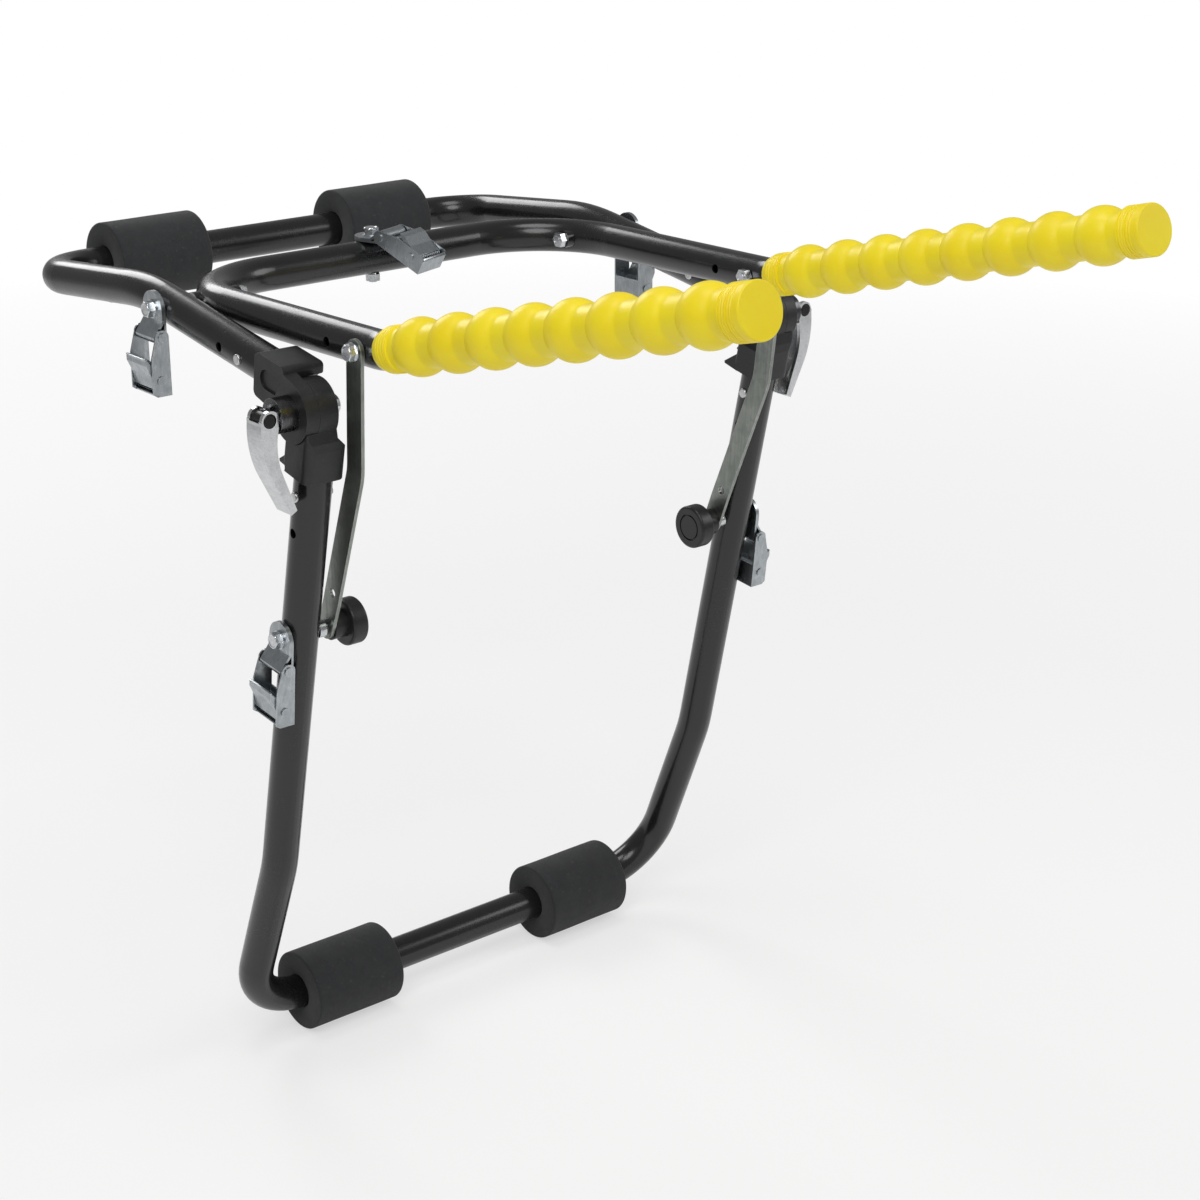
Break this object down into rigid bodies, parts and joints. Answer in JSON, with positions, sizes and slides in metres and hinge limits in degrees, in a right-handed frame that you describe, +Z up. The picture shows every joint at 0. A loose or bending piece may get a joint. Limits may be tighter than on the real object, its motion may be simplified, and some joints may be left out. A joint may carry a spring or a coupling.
{
  "type": "trunk mounted bike rack",
  "caption": "Folding strap-on bike carrier for a car trunk: two hinged U frames with foam rollers, and a strutted carrier whose padded arms cradle bicycles.",
  "frame": {"origin": "middle of the lower crossbar's centreline, between the two lower foam rollers", "axes": "+X across the car, +Y towards the car, +Z up; the bike arms reach out along -Y"},
  "size_m": [0.4722, 0.7599, 0.6541],
  "materials": {
    "frame_paint": "gloss black powder coat",
    "roller_foam": "matte closed-cell foam",
    "grip_rubber": "satin yellow rubber",
    "hub_nylon": "satin dark nylon",
    "knob_plastic": "satin black plastic",
    "lever_steel": "polished steel",
    "cup_steel": "turned steel",
    "barrel_black": "blackened steel",
    "strut_steel": "dull zinc plate",
    "zinc_fastener": "bright zinc plate",
    "rivet_aluminium": "plain aluminium",
    "buckle_zinc": "bright zinc plate"
  },
  "bodies": {
    "lower_frame": {"lower_frame_tube": "frame_paint", "lower_hub_left": "hub_nylon", "lower_hub_right": "hub_nylon", "lower_pad_left": "roller_foam", "lower_pad_right": "roller_foam", "lower_rivets": "rivet_aluminium", "leg_bolt_left": "zinc_fastener", "leg_bolt_right": "zinc_fastener", "leg_collars": "zinc_fastener", "buckle_bracket_lower_left": "buckle_zinc", "buckle_bracket_lower_right": "buckle_zinc"},
    "upper_frame": {"upper_frame_tube": "frame_paint", "upper_hub_left": "hub_nylon", "upper_hub_right": "hub_nylon", "cam_cup_left": "cup_steel", "cam_cup_right": "cup_steel", "upper_pad_left": "roller_foam", "upper_pad_right": "roller_foam", "upper_rivets": "rivet_aluminium", "buckle_bracket_upper_left": "buckle_zinc", "buckle_bracket_upper_right": "buckle_zinc", "carrier_pivot_bolt_left": "zinc_fastener", "carrier_pivot_bolt_right": "zinc_fastener", "carrier_pivot_fittings": "zinc_fastener"},
    "carrier": {"carrier_frame_tube": "frame_paint", "grip_left": "grip_rubber", "grip_right": "grip_rubber", "strut_bolts": "zinc_fastener", "centre_bracket_bolt": "zinc_fastener"},
    "centre_bracket": {"buckle_bracket_centre": "buckle_zinc"},
    "hub_clamp_left": {"hub_bolt_left": "zinc_fastener", "hub_nut_left": "zinc_fastener", "cam_barrel_left": "barrel_black"},
    "cam_lever_left": {"cam_lever_left": "lever_steel"},
    "strut_left": {"strut_left": "strut_steel", "knob_stud_left": "zinc_fastener"},
    "knob_left": {"knob_left": "knob_plastic"},
    "buckle_lower_left": {"buckle_frame_lower_left": "buckle_zinc", "buckle_pins_lower_left": "buckle_zinc"},
    "buckle_cam_lower_left": {"buckle_cam_lower_left": "buckle_zinc"},
    "buckle_upper_left": {"buckle_frame_upper_left": "buckle_zinc", "buckle_pins_upper_left": "buckle_zinc"},
    "buckle_cam_upper_left": {"buckle_cam_upper_left": "buckle_zinc"},
    "hub_clamp_right": {"hub_bolt_right": "zinc_fastener", "hub_nut_right": "zinc_fastener", "cam_barrel_right": "barrel_black"},
    "cam_lever_right": {"cam_lever_right": "lever_steel"},
    "strut_right": {"strut_right": "strut_steel", "knob_stud_right": "zinc_fastener"},
    "knob_right": {"knob_right": "knob_plastic"},
    "buckle_lower_right": {"buckle_frame_lower_right": "buckle_zinc", "buckle_pins_lower_right": "buckle_zinc"},
    "buckle_cam_lower_right": {"buckle_cam_lower_right": "buckle_zinc"},
    "buckle_upper_right": {"buckle_frame_upper_right": "buckle_zinc", "buckle_pins_upper_right": "buckle_zinc"},
    "buckle_cam_upper_right": {"buckle_cam_upper_right": "buckle_zinc"},
    "buckle_centre": {"buckle_frame_centre": "buckle_zinc", "buckle_pins_centre": "buckle_zinc"},
    "buckle_cam_centre": {"buckle_cam_centre": "buckle_zinc"}
  },
  "joints": [
    {"name": "hub_fold", "type": "hinge", "parent": "lower_frame", "child": "upper_frame", "pos_m": [0, -0.12353, 0.48449], "axis": [1, 0, 0], "range_deg": [-55, 0]},
    {"name": "carrier_fold", "type": "hinge", "parent": "upper_frame", "child": "carrier", "pos_m": [0, 0.04197, 0.52049], "axis": [1, 0, 0], "range_deg": [-150, 0]},
    {"name": "clamp_travel_left", "type": "slide", "parent": "upper_frame", "child": "hub_clamp_left", "axis": [1, 0, 0], "range_m": [0, 0.0007]},
    {"name": "cam_lever_left", "type": "hinge", "parent": "hub_clamp_left", "child": "cam_lever_left", "pos_m": [-0.2295, -0.12353, 0.48449], "axis": [0, 1, 0], "range_deg": [0, 110]},
    {"name": "strut_swing_left", "type": "hinge", "parent": "carrier", "child": "strut_left", "pos_m": [-0.17809, -0.152, 0.52412], "axis": [1, 0, 0], "range_deg": [-60, 0]},
    {"name": "knob_turn_left", "type": "hinge", "parent": "strut_left", "child": "knob_left", "pos_m": [-0.14899, -0.09753, 0.32547], "axis": [1, 0, 0], "continuous": true},
    {"name": "buckle_swing_lower_left", "type": "hinge", "parent": "lower_frame", "child": "buckle_lower_left", "pos_m": [-0.2113, -0.09575, 0.30856], "axis": [0, 0.9945, 0.1045], "range_deg": [0, 80]},
    {"name": "buckle_release_lower_left", "type": "hinge", "parent": "buckle_lower_left", "child": "buckle_cam_lower_left", "pos_m": [-0.2138, -0.09272, 0.27972], "axis": [0, 0.9945, 0.1045], "range_deg": [0, 35], "stiffness_Nm_per_rad": 0.02, "springref_deg": -17.19},
    {"name": "buckle_swing_upper_left", "type": "hinge", "parent": "upper_frame", "child": "buckle_upper_left", "pos_m": [-0.2113, 0.04197, 0.50349], "axis": [0, 1, 0], "range_deg": [0, 80]},
    {"name": "buckle_release_upper_left", "type": "hinge", "parent": "buckle_upper_left", "child": "buckle_cam_upper_left", "pos_m": [-0.2138, 0.04197, 0.47449], "axis": [0, 1, 0], "range_deg": [0, 35], "stiffness_Nm_per_rad": 0.02, "springref_deg": -17.19},
    {"name": "clamp_travel_right", "type": "slide", "parent": "upper_frame", "child": "hub_clamp_right", "axis": [-1, 0, 0], "range_m": [0, 0.0007]},
    {"name": "cam_lever_right", "type": "hinge", "parent": "hub_clamp_right", "child": "cam_lever_right", "pos_m": [0.2295, -0.12353, 0.48449], "axis": [0, -1, 0], "range_deg": [0, 110]},
    {"name": "strut_swing_right", "type": "hinge", "parent": "carrier", "child": "strut_right", "pos_m": [0.17809, -0.152, 0.52412], "axis": [1, 0, 0], "range_deg": [-60, 0]},
    {"name": "knob_turn_right", "type": "hinge", "parent": "strut_right", "child": "knob_right", "pos_m": [0.14899, -0.09753, 0.32547], "axis": [1, 0, 0], "continuous": true},
    {"name": "buckle_swing_lower_right", "type": "hinge", "parent": "lower_frame", "child": "buckle_lower_right", "pos_m": [0.2113, -0.09575, 0.30856], "axis": [0, -0.9945, -0.1045], "range_deg": [0, 80]},
    {"name": "buckle_release_lower_right", "type": "hinge", "parent": "buckle_lower_right", "child": "buckle_cam_lower_right", "pos_m": [0.2138, -0.09272, 0.27972], "axis": [0, -0.9945, -0.1045], "range_deg": [0, 35], "stiffness_Nm_per_rad": 0.02, "springref_deg": -17.19},
    {"name": "buckle_swing_upper_right", "type": "hinge", "parent": "upper_frame", "child": "buckle_upper_right", "pos_m": [0.2113, 0.04197, 0.50349], "axis": [0, -1, 0], "range_deg": [0, 80]},
    {"name": "buckle_release_upper_right", "type": "hinge", "parent": "buckle_upper_right", "child": "buckle_cam_upper_right", "pos_m": [0.2138, 0.04197, 0.47449], "axis": [0, -1, 0], "range_deg": [0, 35], "stiffness_Nm_per_rad": 0.02, "springref_deg": -17.19},
    {"name": "centre_bracket_turn", "type": "hinge", "parent": "carrier", "child": "centre_bracket", "pos_m": [0, 0.08796, 0.51963], "axis": [0, 0, 1], "range_deg": [-40, 10]},
    {"name": "buckle_swing_centre", "type": "hinge", "parent": "centre_bracket", "child": "buckle_centre", "pos_m": [0.00581, 0.07198, 0.53743], "axis": [-0.9397, -0.342, 0], "range_deg": [0, 80]},
    {"name": "buckle_release_centre", "type": "hinge", "parent": "buckle_centre", "child": "buckle_cam_centre", "pos_m": [0.01497, 0.04682, 0.52603], "axis": [-0.9397, -0.342, 0], "range_deg": [0, 35], "stiffness_Nm_per_rad": 0.02, "springref_deg": -17.19}
  ],
  "couplings": [
    {"joint": "clamp_travel_left", "follows": "cam_lever_left", "m_per_rad": 0.00036425},
    {"joint": "clamp_travel_right", "follows": "cam_lever_right", "m_per_rad": 0.00036425}
  ]
}
